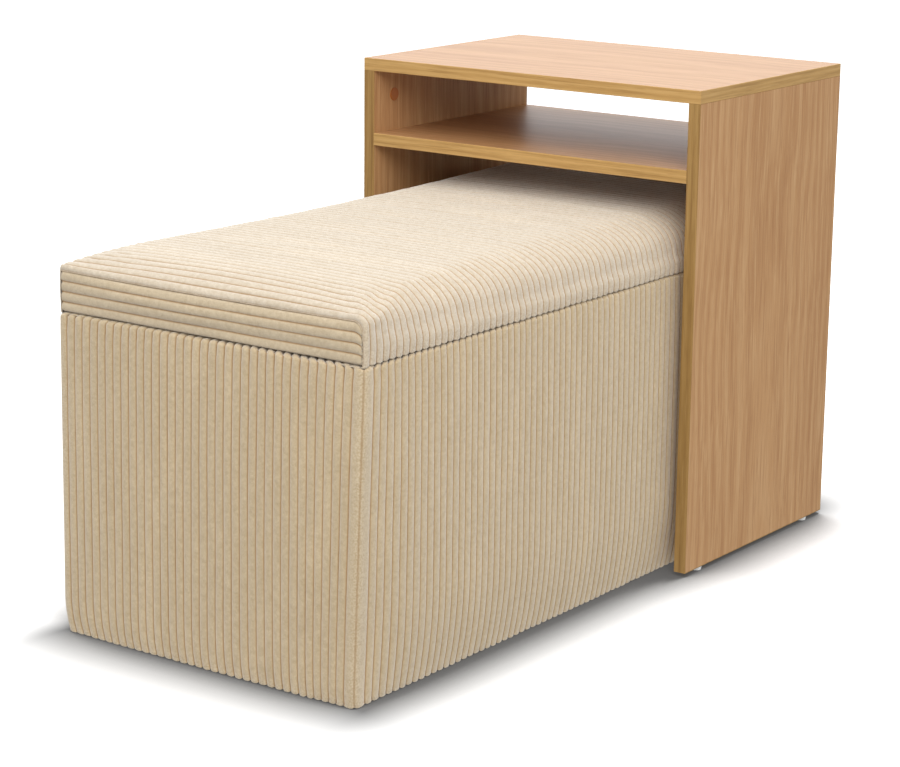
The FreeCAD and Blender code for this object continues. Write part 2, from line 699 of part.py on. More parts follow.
def lining():
    body = new_body("bench_lining")
    outer = new_sketch(body, "lining_outside", "XY_Plane", floor_high)
    notched_outline(outer, 0)
    pad(body, outer, rail_low - floor_high)
    inner = new_sketch(body, "lining_inside", "XY_Plane", rail_low)
    notched_outline(inner, size.lining)
    pocket(body, inner, rail_low - floor_high - size.lining)
    keep(body, "bench_lining")


def dust_cover():
    x = size.wall_half_width - size.hem - size.sheet_gap
    y = size.wall_half_length - size.hem - size.sheet_gap
    sheet_low = size.wall_bottom - size.dust_sheet
    blank = box("dust_blank", -x, x, -y, y, sheet_low, size.wall_bottom)
    holes = [rod(f"dust_hole_{n}", size.nail_radius + size.slack, 4 * size.dust_sheet,
                 gx, gy, sheet_low - size.dust_sheet)
             for n, (gx, gy) in enumerate([(gx, gy) for gx in (-glide_x, glide_x) for gy in glide_rows])]
    keep(cut("bench_dust_cover", blank, fuse("dust_holes", holes)), "bench_dust_cover")
    master = nail_glide("bench_glide_master", size.bench_foot_radius, sheet_low, size.bearer / 2)
    copies("bench_glides", master,
           [(gx, gy, 0, NO_TURN) for gx in (-glide_x, glide_x) for gy in glide_rows])


# ---------------------------------------------------------------- hinges

def hinge_leaf(name, sign, segments):
    """One leaf: a plate beside the knuckles and the knuckles it carries, around a pin along Y."""
    knuckle = size.hinge_length / 5
    half = size.hinge_length / 2
    low = size.leaf_gap if sign > 0 else -(size.leaf_gap + size.leaf_thickness)
    high = low + size.leaf_thickness
    plate_start = size.knuckle_radius + 3 * size.slack
    members = [box(f"{name}_plate", plate_start, plate_start + size.leaf_width, -half, half, low, high)]
    for segment in segments:
        y0 = segment * knuckle - half + size.knuckle_gap
        y1 = (segment + 1) * knuckle - half - size.knuckle_gap
        members.append(box(f"{name}_neck_{segment}", 0, plate_start, y0, y1, low, high))
        barrel = rod(f"{name}_barrel_{segment}", size.knuckle_radius, y1 - y0)
        barrel.Placement = FreeCAD.Placement(Vector(), LIE_DOWN)
        place(barrel, 0, y0, 0)
        members.append(barrel)
    solid = fuse(f"{name}_blank", members)
    bore = rod(f"{name}_bore", size.pin_radius + size.pin_fit, 2 * size.hinge_length)
    bore.Placement = FreeCAD.Placement(Vector(), LIE_DOWN)
    place(bore, 0, -size.hinge_length, 0)
    sinks = []
    for n, y in enumerate((-size.screw_pitch, 0, size.screw_pitch)):
        sink = doc.addObject("Part::Cone", f"{name}_sink_{n}")
        narrow, wide = size.screw_radius + size.slack, size.screw_head + size.slack
        bind(sink, "Radius1", wide if sign > 0 else narrow)
        bind(sink, "Radius2", narrow if sign > 0 else wide)
        bind(sink, "Height", size.leaf_thickness)
        place(sink, size.screw_inset, y, low)
        sinks.append(sink)
    return cut(name, solid, fuse(f"{name}_holes", [bore, *sinks]))


def screw_master(name, sign):
    """A countersunk wood screw whose head is flush with its leaf's open face."""
    head = doc.addObject("Part::Cone", f"{name}_head")
    bind(head, "Radius1", size.screw_head if sign > 0 else size.screw_radius)
    bind(head, "Radius2", size.screw_radius if sign > 0 else size.screw_head)
    bind(head, "Height", size.leaf_thickness)
    shank_low = size.leaf_thickness if sign > 0 else -size.screw_grip
    return fuse(name, [head, rod(f"{name}_shank", size.screw_radius, size.screw_grip, 0, 0, shank_low)])


def hinges():
    rows = [(pin_x, y, pin_z, NO_TURN) for y in hinge_rows]
    copies("hinge_bench_leaves", hinge_leaf("bench_leaf", -1, (0, 2, 4)), rows)
    copies("hinge_lid_leaves", hinge_leaf("lid_leaf", 1, (1, 3)), rows)
    pin = rod("pin_master", size.pin_radius, size.hinge_length)
    copies("hinge_pins", pin, [(pin_x, y - size.hinge_length / 2, pin_z, LIE_DOWN) for y in hinge_rows])
    bench_screw_z = pin_z - size.leaf_gap - size.leaf_thickness
    lid_screw_z = pin_z + size.leaf_gap
    copies("hinge_bench_screws", screw_master("bench_screw", -1),
           [(x, y, z, NO_TURN) for x, y, z in screw_spots(bench_screw_z)])
    copies("hinge_lid_screws", screw_master("lid_screw", 1),
           [(x, y, z, NO_TURN) for x, y, z in screw_spots(lid_screw_z)])


# ---------------------------------------------------------------- lid

board_low = size.lid_bottom + size.lid_rim
board_high = board_low + size.lid_board
lid_room_x = bench_half_width - size.cloth
lid_room_y = bench_half_length - size.cloth
lid_room_top = size.lid_top - size.cloth
lid_mouth_x = bench_half_width - size.lid_hem
lid_mouth_y = bench_half_length - size.lid_hem


def lid_board():
    x, y = lid_room_x - size.sheet_gap, lid_room_y - size.sheet_gap
    blank = box("lid_board_blank", -x, x, -y, y, board_low, board_high)
    holes = screw_holes("lid_board_pilots", board_low - 1, size.screw_grip)
    keep(cut("lid_board", blank, holes), "lid_board")


def lid_foam():
    body = new_body("lid_foam")
    section = new_sketch(body, "foam_section", "XZ_Plane")
    arched_outline(section, lid_room_x - size.foam_gap, board_high, lid_room_top - size.foam_gap,
                   size.lid_shoulder - size.cloth - size.foam_gap)
    pad(body, section, 2 * (lid_room_y - size.foam_gap), midplane=True)
    keep(body, "lid_foam")


def lid_cover():
    """The corduroy cap, folded down on all four sides, with a hem stapled under the board."""
    body = new_body("lid_shell")
    section = new_sketch(body, "lid_section", "XZ_Plane")
    arched_outline(section, bench_half_width, size.lid_bottom, size.lid_top, size.lid_shoulder)
    pad(body, section, 2 * bench_half_length, midplane=True)
    doc.recompute()
    reach, foot = number_of(bench_half_length), number_of(size.lid_bottom)
    ends = [f"Edge{n}" for n, edge in enumerate(body.Tip.Shape.Edges, start=1)
            if abs(abs(edge.CenterOfMass.y) - reach) < EDGE_TOLERANCE and edge.CenterOfMass.z > foot + 1]
    round_edges(body, "lid_end_edges", ends, size.lid_edge)
    room = new_sketch(body, "lid_room", "XZ_Plane")
    arched_outline(room, lid_room_x, board_low, lid_room_top, size.lid_shoulder - size.cloth)
    pocket(body, room, 2 * lid_room_y, midplane=True)
    mouth = new_sketch(body, "lid_mouth", "XY_Plane", size.lid_bottom)
    rectangle(mouth, -lid_mouth_x, lid_mouth_x, -lid_mouth_y, lid_mouth_y)
    pocket(body, mouth, size.lid_rim, True)
    pierces = screw_holes("lid_hem_pierces", size.lid_bottom - 1, size.pierce_depth)
    keep(cut("lid_cover", body, pierces), "lid_cover")


def lid_lining():
    x, y = lid_mouth_x - size.lining_margin, lid_mouth_y - size.lining_margin
    keep(box("lid_lining", -x, x, -y, y, board_low - size.lining, board_low), "lid_lining")


def lid_bumpers():
    """Small rubber pads under the lid that it rests on when it is shut."""
    low = rim_top + size.bumper_gap
    master = rod("bumper_master", size.bumper_radius, size.lid_bottom - low)
    x, y = bench_half_width - size.lid_hem / 2, bench_half_length - size.lid_hem / 2
    copies("lid_bumpers", master,
           [(px, py, low, NO_TURN) for px, py in ((-x, -y), (-x, y), (x, -y), (x, 0), (x, y))])


# ---------------------------------------------------------------- build, check and write

def build():
    table_top()
    table_top_edging()
    for side, sign in (("left", -1), ("right", 1)):
        side_panel(side, sign)
        side_panel_edging(side, sign)
    shelf()
    cam_fittings()
    wood_dowels()
    table_glides()
    walls()
    battens()
    padding()
    bench_cover()
    lining()
    dust_cover()
    hinges()
    lid_board()
    lid_foam()
    lid_cover()
    lid_lining()
    lid_bumpers()
    doc.recompute()


def check():
    """Stops if any object failed, any sub-part is missing or broken, or any pocket cut nothing."""
    for thing in doc.Objects:
        if "Invalid" in thing.State or "Error" in thing.State:
            raise RuntimeError(f"{thing.Name} failed: {thing.State}")
    for thing in sub_parts:
        if thing.Shape.isNull() or not thing.Shape.isValid() or not thing.Shape.Solids:
            raise RuntimeError(f"{thing.Label} has no valid solid")
    for body, feature in cuts:
        before = feature.BaseFeature.Shape.Volume
        if feature.Shape.Volume > before - 0.1:
            raise RuntimeError(f"{feature.Name} in {body.Name} cut nothing")


def write():
    os.makedirs("parts", exist_ok=True)
    for thing in sub_parts:
        thing.Shape.exportStep(f"parts/{thing.Label}.step")
        extent = thing.Shape.BoundBox
        print(f"{thing.Label:24s} solids {len(thing.Shape.Solids):2d}  "
              f"volume {thing.Shape.Volume / 1000:9.1f} cm3  "
              f"x {extent.XMin:7.1f} {extent.XMax:7.1f}  y {extent.YMin:7.1f} {extent.YMax:7.1f}  "
              f"z {extent.ZMin:6.1f} {extent.ZMax:6.1f}")


build()
check()
write()
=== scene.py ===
"""Looks of the storage bench: corduroy covers, woodgrain boards, soft studio light and the camera.

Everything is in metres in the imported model's own frame: +Z up, +Y along the bench towards the table.
"""

import math

import bpy
import numpy as np
from mathutils import Matrix, Vector
from mathutils.kdtree import KDTree


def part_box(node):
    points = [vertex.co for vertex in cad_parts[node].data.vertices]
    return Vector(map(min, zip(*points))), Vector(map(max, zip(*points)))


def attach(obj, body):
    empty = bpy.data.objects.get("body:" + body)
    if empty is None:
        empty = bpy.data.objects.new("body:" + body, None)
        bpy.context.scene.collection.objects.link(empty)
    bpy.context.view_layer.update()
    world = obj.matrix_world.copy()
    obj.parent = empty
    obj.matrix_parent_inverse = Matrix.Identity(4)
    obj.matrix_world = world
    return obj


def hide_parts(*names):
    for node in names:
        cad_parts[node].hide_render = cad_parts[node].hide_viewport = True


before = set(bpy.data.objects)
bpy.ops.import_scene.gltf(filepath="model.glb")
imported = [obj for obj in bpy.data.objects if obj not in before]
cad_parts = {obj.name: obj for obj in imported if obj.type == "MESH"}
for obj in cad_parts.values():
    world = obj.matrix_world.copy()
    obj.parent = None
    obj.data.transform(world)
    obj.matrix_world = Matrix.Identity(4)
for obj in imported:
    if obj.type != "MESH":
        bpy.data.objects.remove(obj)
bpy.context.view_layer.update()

# ---------------------------------------------------------------- sizes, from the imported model

MM = 0.001
HALF_WIDTH, HALF_LENGTH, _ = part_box("lid_cover")[1]
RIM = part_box("bench_right_cover")[1].z
BODY_LOW = 0.1 * MM
BODY_HIGH = RIM + 2.8 * MM
BODY_PROUD = 1.6 * MM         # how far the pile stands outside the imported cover
LID_PROUD = 1.3 * MM
LID_LOW = RIM + 3.6 * MM
LID_EDGE = RIM + 49.3 * MM    # where the lid's upright end turns into its top

PITCH = 11.5 * MM             # from one groove of the corduroy to the next
RIB_HEIGHT = 2.0 * MM
RIB_STEPS = (0, 0.05, 0.11, 0.2, 0.34, 0.5, 0.66, 0.8, 0.89, 0.95)
RIB_ROUNDNESS = 3.2
WANDER, WANDER_CELL = 0.45 * MM, (25, 7)  # how far a rib strays sideways, and over how large a patch
LUMP, LUMP_CELL = 0.45 * MM, (9, 5)       # how unevenly the pile stands
NAP_CELL = (10, 5)                        # patches are in rows across and columns along the ribs
SPLINE_GAIN = 1.7             # brings splined random values back to about -1 to 1
SEEDS = {"corduroy_front": 10, "corduroy_rear": 15, "corduroy_right": 20, "corduroy_left": 25,
         "lid_corduroy": 40, "lid_corduroy_front": 60, "lid_corduroy_rear": 70}

FOLD_SPAN = 12                # a fold has faded out this many reaches from its edge
FOLD_STEPS = 2000


# ---------------------------------------------------------------- helpers for ribbed sheets

def smooth_field(rows, columns, cell, seed):
    """A smooth random field, mostly between -1 and 1, over a grid of rows and columns in soft patches.

    cell is how many rows and columns one patch takes.
    """
    across, along = max(rows // cell[0], 2), max(columns // cell[1], 2)
    coarse = np.random.default_rng(seed).uniform(-1, 1, (across + 3, along + 3))

    def spline(count, cells):
        place = np.linspace(0, cells - 1e-6, count)
        cell = place.astype(int)
        f = place - cell
        return cell, ((1 - f) ** 3 / 6, (3 * f**3 - 6 * f**2 + 4) / 6,
                      (1 + 3 * f + 3 * f**2 - 3 * f**3) / 6, f**3 / 6)

    row_cell, row_weight = spline(rows, across)
    column_cell, column_weight = spline(columns, along)
    field = np.zeros((rows, columns))
    for i in range(4):
        for j in range(4):
            corner = coarse[row_cell + i][:, column_cell + j]
            field += row_weight[i][:, None] * column_weight[j][None, :] * corner
    return SPLINE_GAIN * field


def smoothstep(value):
    """0 below 0, 1 above 1, and a soft step between."""
    value = np.clip(value, 0, 1)
    return value * value * (3 - 2 * value)


def grooves_between(start, end, first, last):
    """Groove places from start to end, with a first and last rib of the given widths."""
    count = round((end - start - first - last) / PITCH)
    return np.concatenate(([start], np.linspace(start + first, end - last, count + 1), [end]))


def rib_stations(grooves, seam_height=0.0):
    """Where each row of vertices lies across the ribs, and how high it stands, 0 to 1."""
    places, heights = [], []
    for low, high in zip(grooves, grooves[1:]):
        for step in RIB_STEPS:
            places.append(low + (high - low) * step)
            heights.append(1 - (1 - 2 * min(step, 1 - step)) ** RIB_ROUNDNESS)
    heights[0] = seam_height
    return np.array(places + [grooves[-1]]), np.array(heights + [seam_height])


def rounded_edge(distance, turn, reach):
    """A fold whose slope starts at turn (radians) and fades over reach.

    Gives how far along the face a point at that distance lies, and how far below the face it is.
    """
    table = np.linspace(0, FOLD_SPAN * reach, FOLD_STEPS)
    slope = turn * np.exp(-table / reach)
    step = table[1]
    run = np.concatenate(([0], np.cumsum((np.cos(slope[1:]) + np.cos(slope[:-1])) / 2 * step)))
    rise = np.concatenate(([0], np.cumsum((np.sin(slope[1:]) + np.sin(slope[:-1])) / 2 * step)))
    inside = np.minimum(distance, table[-1])
    return (np.interp(inside, table, run) + distance - inside,
            rise[-1] - np.interp(inside, table, rise))


def edge_lag(turn, reach):
    """How much cloth a fold takes up, beyond the straight way to its edge."""
    far = np.array([FOLD_SPAN * reach])
    return far[0] - rounded_edge(far, turn, reach)[0][0]


def edge_drop(turn, reach):
    """How far the outermost point of a fold lies below the face."""
    return rounded_edge(np.array([0.0]), turn, reach)[1][0]


def normals_of(base):
    """The unit normals of a grid of points."""
    across = np.gradient(base, axis=0)
    along = np.gradient(base, axis=1)
    normal = np.cross(across, along)
    return normal / np.maximum(np.linalg.norm(normal, axis=2, keepdims=True), 1e-9)


def ribbed_sheet(name, base, heights, depth=1.0, flip=False, fade=1.0, fuzz=0.0):
    """A mesh of ribs along the second axis of base, an array of points (across, along, 3).

    The rib tops lie on base. heights is each row's rib height. Along the ribs, depth makes them deeper,
    fade lowers them and fuzz roughens their pile. flip turns the sheet's outside round.
    """
    rows, columns = base.shape[:2]
    seed = SEEDS[name]
    normal = normals_of(base) * (-1 if flip else 1)
    sideways = np.gradient(base, axis=0)
    sideways /= np.maximum(np.linalg.norm(sideways, axis=2, keepdims=True), 1e-9)
    drift = smooth_field(rows, columns, WANDER_CELL, seed) * WANDER
    from_edge = np.minimum(np.arange(rows), np.arange(rows)[::-1])
    drift *= np.clip(from_edge / len(RIB_STEPS), 0, 1)[:, None]
    lump = smooth_field(rows, columns, LUMP_CELL, seed + 1) * LUMP
    rib = heights[:, None] * np.broadcast_to(fade, columns)[None, :]
    sink = (rib - 1) * RIB_HEIGHT * np.broadcast_to(depth, columns)[None, :]
    points = base + normal * (sink + lump * rib)[..., None] + sideways * drift[..., None]
    index = np.arange(rows * columns).reshape(rows, columns)
    corners = [index[:-1, :-1], index[:-1, 1:], index[1:, 1:], index[1:, :-1]]
    quads = np.stack(corners, axis=-1).reshape(-1, 4)
    if not flip:
        quads = quads[:, ::-1]
    mesh = bpy.data.meshes.new(name)
    mesh.from_pydata(points.reshape(-1, 3).tolist(), [], quads.tolist())
    shade = smooth_field(rows, columns, NAP_CELL, seed + 2)
    # the groove layer also says where the corduroy's painted groove shade falls
    for label, values in (("groove", 1 - rib), ("nap", shade), ("fuzz", fuzz + 0 * rib)):
        layer = mesh.attributes.new(label, "FLOAT", "POINT")
        layer.data.foreach_set("value", values.astype(np.float32).ravel())
    mesh.polygons.foreach_set("use_smooth", [True] * len(mesh.polygons))
    mesh.update()
    piece = bpy.data.objects.new(name, mesh)
    bpy.context.collection.objects.link(piece)
    return piece


# ---------------------------------------------------------------- bench covers

SEAM_TURN = math.radians(45)
SEAM_REACH = 1.6 * MM
SEAM_HEIGHT = 0.45            # how high the pile still stands at a corner seam, of a whole rib
WIDE_RIB, WIDEST_RIB = 15 * MM, 18 * MM  # the ribs beside most corner seams
FOOT_FOLD, RIM_FOLD = 1.6 * MM, 5 * MM
FOOT_HEM = ((24, 1.5), (14, 0.8))  # how far in and how high the cloth lies under the foot, mm
RIM_HEM = ((22, 0), (36, 0), (46, -1), (49, -4), (49.5, -20))  # the same over the rim and down inside
WALL_START, WALL_END, WALL_ROWS = 8 * MM, 10 * MM, 44  # the upright stretch, from the foot and the rim
WAIST = 103 * MM              # below this height the long right side curves inwards
SIDE_CURVE = 550 * MM
CORNER_LEAN = 10.2 * MM       # how far the right side's seams lean in at the floor
LEAN_REACH = 70 * MM
LEFT_TUCK, LEFT_TUCK_HEIGHT = 6.5 * MM, 40 * MM
END_LEAN, END_TUCK, END_TUCK_HEIGHT = 6 * MM, 1.5 * MM, 25 * MM
CORNER_LEAN_LOSS = 0.4        # how much less a short end leans at its corners
SWELL, SWELL_REACH = 1.5 * MM, 60 * MM   # how far the foam pushes a wall out, away from its seams
TWIST, TWIST_HEIGHT = 4.5 * MM, 45 * MM  # how far the front's ribs lean sideways at the left foot
SEAM_PULL = 90 * MM           # how far from a seam the ribs lean with it
RIM_BAND, RIM_FADE = 22 * MM, 20 * MM    # where the ribs are deeper below the rim
FOOT_BAND, FOOT_FADE = 16 * MM, 14 * MM  # and above the foot
RIM_DEPTH, FOOT_DEPTH = 0.9, 0.3
RIM_FUZZ = 0.4
SEAM_FUZZ = 1.3               # how wide the rough pile beside a corner seam is, in ribs


def body_path():
    """The cover's path up one wall, as points of (how far in, height).

    It starts with the hem under the foot and ends over the rim and down inside.
    """
    path = [(inwards * MM, BODY_LOW + lift * MM) for inwards, lift in FOOT_HEM]
    for angle in np.linspace(0, math.pi / 2, 6):
        path.append((FOOT_FOLD * (1 - math.sin(angle)), BODY_LOW + FOOT_FOLD * (1 - math.cos(angle))))
    path += [(0, z) for z in np.linspace(BODY_LOW + WALL_START, BODY_HIGH - WALL_END, WALL_ROWS)]
    for angle in np.linspace(0, math.pi / 2, 10):
        path.append((RIM_FOLD * (1 - math.cos(angle)), BODY_HIGH - RIM_FOLD * (1 - math.sin(angle))))
    path += [(inwards * MM, BODY_HIGH + lift * MM) for inwards, lift in RIM_HEM]
    return np.array(path)


def swell_at(height, from_seam):
    """How far the foam pushes a wall out, away from its seams, its foot and its rim."""
    upright = np.sin(math.pi * np.clip((height - BODY_LOW) / (BODY_HIGH - BODY_LOW), 0, 1)) ** 0.8
    return BODY_PROUD + SWELL * upright * np.clip(from_seam / SWELL_REACH, 0, 1)


def right_wall(along, height):
    """How far out the right wall stands at a place along the bench and a height."""
    below = np.clip(WAIST - height, 0, None)
    curve = SIDE_CURVE - np.sqrt(SIDE_CURVE**2 - below**2)
    lean = CORNER_LEAN * (1 - height / BODY_HIGH)
    from_seam = HALF_LENGTH - np.abs(along)
    near = np.exp(-(from_seam / LEAN_REACH) ** 2)
    return HALF_WIDTH + swell_at(height, from_seam) - curve - np.clip(lean - curve, 0, None) * near


def left_wall(along, height):
    """The same for the left wall, which only tucks in at its foot."""
    tuck = LEFT_TUCK * np.clip(1 - height / LEFT_TUCK_HEIGHT, 0, 1) ** 1.5
    return HALF_WIDTH + swell_at(height, HALF_LENGTH - np.abs(along)) - tuck


def end_wall(across, height):
    """How far out a short end stands: it leans out towards the floor and tucks in at its foot."""
    lean = END_LEAN * (1 - height / BODY_HIGH) * (1 - CORNER_LEAN_LOSS * (across / HALF_WIDTH) ** 2)
    tuck = END_TUCK * np.clip(1 - height / END_TUCK_HEIGHT, 0, 1) ** 2
    return HALF_LENGTH + swell_at(height, HALF_WIDTH - np.abs(across)) + lean - tuck


def front_twist(place, height):
    """How far the front's ribs lean sideways at the foot; place runs from 0 at the left seam to 1."""
    return TWIST * (1 - place) * np.clip(1 - height / TWIST_HEIGHT, 0, 1) ** 1.6


def body_panel(name, half, wall, end_walls, turn, bands, twist=None):
    """One upright panel between two corner seams.

    half is its half width, wall gives how far out it stands, end_walls the same for the neighbours at
    its low and high end, turn makes a point of (across, outwards, height), and bands are the widths of
    the ribs beside the seams. twist gives how far its ribs lean sideways.
    """
    drop = edge_drop(SEAM_TURN, SEAM_REACH)
    cloth = half - drop + edge_lag(SEAM_TURN, SEAM_REACH)
    places, heights = rib_stations(grooves_between(-cloth, cloth, *bands), SEAM_HEIGHT)
    run, seam_drop = rounded_edge(cloth - np.abs(places), SEAM_TURN, SEAM_REACH)
    across = (np.sign(places) * (half - drop - run))[:, None]
    depth, height = body_path().T[:, None, :]
    corner = HALF_WIDTH + HALF_LENGTH - half
    low_end, high_end = (neighbour(corner, height) for neighbour in end_walls)
    moved = np.where(across < 0, half - low_end, high_end - half)
    pull = smoothstep((np.abs(across) - half + SEAM_PULL) / SEAM_PULL)
    slid = across + moved * pull
    if twist:
        slid = slid + twist((across / half + 1) / 2, height) * (1 - pull)
    slid = slid * (1 - depth / half)
    out = wall(across, height) - depth - seam_drop[:, None]
    base = np.stack([axis + 0 * slid for axis in turn(slid, out, height)], axis=-1)
    near_rim = smoothstep((height[0] - BODY_HIGH + RIM_BAND) / RIM_FADE)
    near_foot = smoothstep((FOOT_BAND - height[0]) / FOOT_FADE)
    in_band = np.clip(SEAM_FUZZ - (cloth - np.abs(places)) / min(bands), 0, 1)[:, None]
    fuzz = np.maximum(np.maximum(in_band, near_foot[None, :]), RIM_FUZZ * near_rim[None, :])
    depth = 1 + RIM_DEPTH * near_rim + FOOT_DEPTH * near_foot
    return ribbed_sheet(name, base, heights, depth=depth, fuzz=fuzz)


def bench_panels():
    """The sleeve's four panels."""
    walls = {
        "front": (HALF_WIDTH, end_wall, (left_wall, right_wall), lambda a, o, h: (a, -o, h),
                  (PITCH, WIDE_RIB), front_twist),
        "rear": (HALF_WIDTH, end_wall, (right_wall, left_wall), lambda a, o, h: (-a, o, h),
                 (WIDE_RIB, PITCH)),
        "right": (HALF_LENGTH, right_wall, (end_wall, end_wall), lambda a, o, h: (o, a, h),
                  (WIDEST_RIB, WIDE_RIB)),
        "left": (HALF_LENGTH, left_wall, (end_wall, end_wall), lambda a, o, h: (-o, -a, h),
                 (WIDE_RIB, WIDE_RIB)),
    }
    pieces = []
    for side, shape in walls.items():
        panel = body_panel(f"corduroy_{side}", *shape)
        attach(panel, "bench")
        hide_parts(f"bench_{side}_cover", f"bench_{side}_padding")
        pieces.append(panel)
    return pieces


# ---------------------------------------------------------------- lid cover

TOP_TURN, TOP_REACH = math.pi / 2, 14 * MM     # how the top folds down at the lid's ends
POST_TURN, POST_REACH = math.pi / 2, 3.2 * MM  # and the long sides at the corner seams
SHOULDER, SHOULDER_REACH = 36 * MM, 75 * MM    # how round the top's long edges are, away from the ends
RIGHT_CORNER, LEFT_CORNER = 12 * MM, 2 * MM    # and at the corner seams
SIDE_HEM = 0.6 * MM                            # how far the long sides hang below the ends
CORNER_HEM, HEM_REACH = 2 * MM, 9 * MM         # and how much further at the corners
CORNER_DIP, DIP_REACH = 5.5 * MM, 40 * MM      # how far a corner seam pulls the top down beside it
CROWN, CROWN_REACH = 1.5 * MM, 150 * MM        # how far the top's middle stands above its edges
SIDE_BOW = 0.8 * MM                            # how far the upright sides bow out
EAR, EAR_REACH = 1.8 * MM, 6 * MM              # how far a corner seam's end stands up
HEM_FOLD = 2 * MM
UNDER_HEM = ((34, 0.4), (16, 0.4), (5, 0.2))   # how far in and how high the cloth lies below, mm
UNDER_DEPTH = 0.3                              # how deep its ribs are there
HEM_BAND, HEM_FADE, HEM_DEPTH = 22 * MM, 20 * MM, 0.4  # where the ribs are deeper above the hem
LID_SEAM_FUZZ = 1.6                            # how wide the rough pile beside a seam is, in ribs
SEAM_BAND, SEAM_FADE = 60 * MM, 30 * MM        # and how far up it goes
LID_SEAM_HEIGHT = 0.75                         # how high the pile still stands at the seams, of a rib
END_SEAM_HEIGHT = 0.65
HEM_GROOVE_HEIGHT = 0.6
END_RIBS = 4
END_COLUMNS = (0, 0.5, 1.2, 2.2, 3.6, 5.5, 8, 11)  # columns beside a corner seam on a short end, mm
END_MIDDLE, MIDDLE_COLUMNS = 0.93, 64
END_FADE = 5 * MM                              # over what width its ribs sink towards a seam
SEAM_TUCK, TUCK_DEPTH = 1 * MM, 3 * MM         # how it goes on past the seam, and how far in

# the cloth simulation
BLANK_ROWS = (0, 3, 7, 12, 18, 26, 36, 50, 70, 100, 140, 190, 250, 330, 410)  # from each end, mm
BLANK_MIDDLE = 0.001 * MM                       # just off the middle
VOXEL = 5.5 * MM
STAPLED_HEIGHT, STAPLED_FADE = 5 * MM, 14 * MM  # the cloth is held up to here above the hem
POST_HELD = 1.6                                 # and this firmly along the corner seams
PRESSURE = 4
TENSION, BENDING = 30, 2
LAST_FRAME = 20
SWELL_CAP = 5 * MM                              # a point moves less than this
NEIGHBOURS, NEIGHBOUR_REACH = 12, 2 * MM        # how many cushion points the covers follow


def half_section(distance, corner):
    """One half of the lid's cross-section, from its hem to the middle of its top.

    Gives x, z and how far each point belongs to the upright side rather than the top, 0 to 1. Each row
    stands for one distance from the lid's end seam, where the shoulder is only as round as corner.
    """
    _, top_drop = rounded_edge(distance, TOP_TURN, TOP_REACH)
    _, side_drop = rounded_edge(distance, POST_TURN, POST_REACH)
    half = HALF_WIDTH + LID_PROUD - side_drop
    top = LID_EDGE + edge_drop(TOP_TURN, TOP_REACH) - top_drop
    shoulder = SHOULDER - (SHOULDER - corner) * np.exp(-(distance / SHOULDER_REACH) ** 1.3)
    dip = CORNER_DIP * (distance / DIP_REACH * np.exp(1 - distance / DIP_REACH)) ** 2
    ear = EAR * np.exp(-((distance - EAR_REACH) / EAR_REACH) ** 2)
    crown = dip - ear + CROWN * smoothstep(distance / CROWN_REACH)
    high = top - shoulder - crown
    hem = LID_LOW - SIDE_HEM - CORNER_HEM * np.exp(-(distance / HEM_REACH) ** 2)
    low = hem + HEM_FOLD
    columns = [(half - inwards * MM, hem + lift * MM, 1.0) for inwards, lift in UNDER_HEM]
    for angle in np.linspace(0, math.pi / 2, 6):
        columns.append((half - HEM_FOLD * (1 - math.sin(angle)), low - HEM_FOLD * math.cos(angle), 1.0))
    for step in np.linspace(0.1, 1, 10):
        columns.append((half + SIDE_BOW * math.sin(math.pi * step), low + (high - low) * step, 1.0))
    for step in np.linspace(0.1, 1, 12):
        angle = step * math.pi / 2
        columns.append((half - shoulder * (1 - math.cos(angle)), high + shoulder * math.sin(angle),
                        1 - float(smoothstep(step))))
    for step in np.linspace(0.06, 1, 15):
        columns.append(((half - shoulder) * (1 - step), top - crown * (1 - step) ** 2, 0.0))
    x, z, side = zip(*columns)
    return np.stack(x, axis=1), np.stack(z, axis=1), np.array(side)


def lid_section(distance):
    """The lid's whole cross-section, from its right hem over the top to its left hem."""
    x, z, side = half_section(distance, RIGHT_CORNER)
    left_x, left_z, _ = half_section(distance, LEFT_CORNER)
    mirrored = slice(-2, None, -1)
    return (np.concatenate([x, -left_x[:, mirrored]], axis=1),
            np.concatenate([z, left_z[:, mirrored]], axis=1),
            np.concatenate([side, side[mirrored]]))


LID_CLOTH = HALF_LENGTH + edge_lag(TOP_TURN, TOP_REACH)


def lid_surface(places):
    """The lid's top and long sides, one cross-section for each place measured along the cloth."""
    distance = LID_CLOTH - np.abs(places)
    x, z, side = lid_section(distance)
    top_run, _ = rounded_edge(distance, TOP_TURN, TOP_REACH)
    side_run, _ = rounded_edge(distance, POST_TURN, POST_REACH)
    stretch = HALF_LENGTH / (LID_CLOTH - edge_lag(POST_TURN, POST_REACH))
    top_y = HALF_LENGTH - top_run
    side_y = HALF_LENGTH - side_run * stretch
    y = np.sign(places)[:, None] * (top_y[:, None] * (1 - side) + side_y[:, None] * side)
    return np.stack([x, y, z], axis=-1)


def lid_blank():
    """A closed block in the lid's shape, for the cloth simulation."""
    distance = np.array(BLANK_ROWS) * MM
    places = np.concatenate([distance - LID_CLOTH, [BLANK_MIDDLE], (LID_CLOTH - distance)[::-1]])
    loops = lid_surface(places)
    rows, columns = loops.shape[:2]
    index = np.arange(rows * columns).reshape(rows, columns)
    after = np.roll(index, -1, axis=1)
    quads = np.stack([index[:-1], after[:-1], after[1:], index[1:]], axis=-1).reshape(-1, 4)
    ends = [index[0, ::-1].tolist(), index[-1].tolist()]
    mesh = bpy.data.meshes.new("lid_blank")
    mesh.from_pydata(loops.reshape(-1, 3).tolist(), [], quads.tolist() + ends)
    return bpy.data.objects.new("lid_blank", mesh)


def evaluated_points(thing):
    """Where an object's points are, with its modifiers applied."""
    mesh = thing.evaluated_get(bpy.context.evaluated_depsgraph_get()).data
    points = np.empty(3 * len(mesh.vertices))
    mesh.vertices.foreach_get("co", points)
    return points.reshape(-1, 3)


